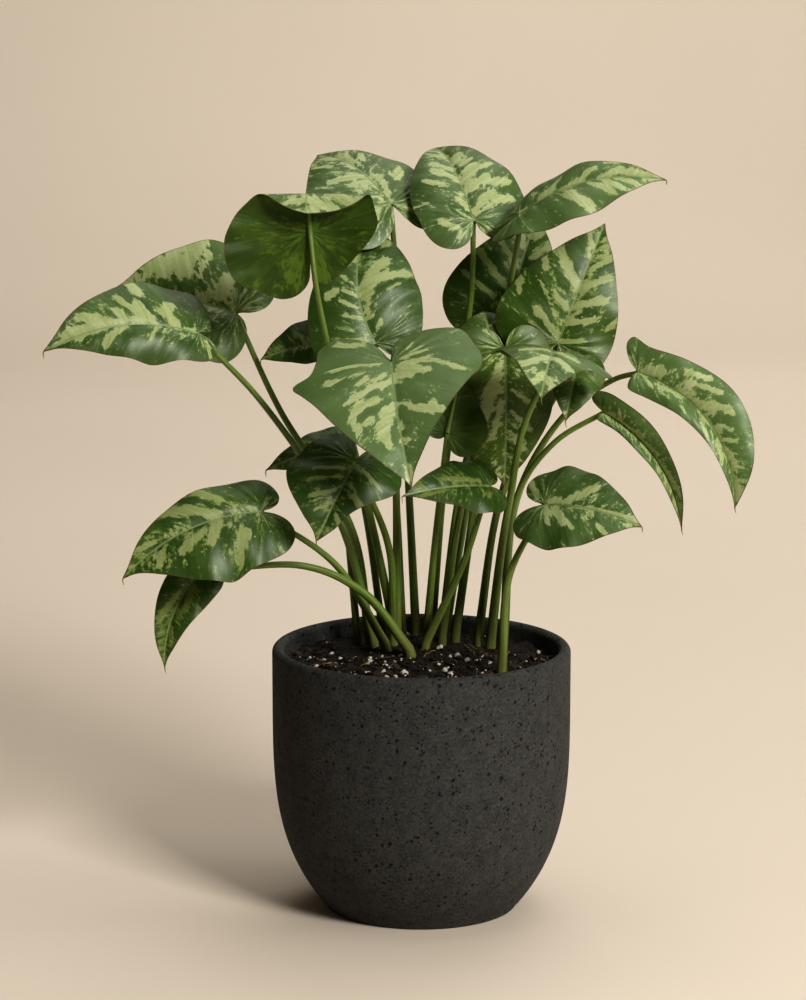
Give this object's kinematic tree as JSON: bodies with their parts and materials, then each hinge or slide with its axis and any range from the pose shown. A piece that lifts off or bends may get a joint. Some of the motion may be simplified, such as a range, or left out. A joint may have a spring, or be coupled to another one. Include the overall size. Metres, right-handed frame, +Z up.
{
  "type": "potted homalomena",
  "caption": "Leafy house plant with heart-shaped, cream-flecked green leaves on long stalks, growing from soil in a dark egg-shaped stoneware pot.",
  "frame": {"origin": "middle of the pot's flat underside", "axes": "+Z up, +X to the right and -Y to the front of the plant as pictured"},
  "size_m": [0.3912, 0.197, 0.4312],
  "materials": {
    "stoneware": "matt, unglazed, charcoal stoneware with fine dark pits",
    "peat": "dark peat and bark with white perlite grains",
    "leaf_green": "satin leaf, dark green with feathered cream flecks, paler stalks"
  },
  "bodies": {
    "root": {"leaf_far_left": "leaf_green", "leaf_far_left_behind": "leaf_green", "leaf_far_right": "leaf_green", "leaf_front_heart": "leaf_green", "leaf_left_small": "leaf_green", "leaf_low_left_heart": "leaf_green", "leaf_low_left_large": "leaf_green", "leaf_low_left_narrow": "leaf_green", "leaf_low_left_small": "leaf_green", "leaf_low_right": "leaf_green", "leaf_mid_left": "leaf_green", "leaf_middle_back": "leaf_green", "leaf_middle_dark": "leaf_green", "leaf_middle_hanging": "leaf_green", "leaf_middle_low": "leaf_green", "leaf_right_bright": "leaf_green", "leaf_right_dark": "leaf_green", "leaf_right_narrow": "leaf_green", "leaf_right_saddle": "leaf_green", "leaf_right_small": "leaf_green", "leaf_top_centre": "leaf_green", "leaf_top_left": "leaf_green", "leaf_top_right": "leaf_green", "leaf_upper_left_dark": "leaf_green", "pot": "stoneware", "soil": "peat"}
  },
  "joints": []
}
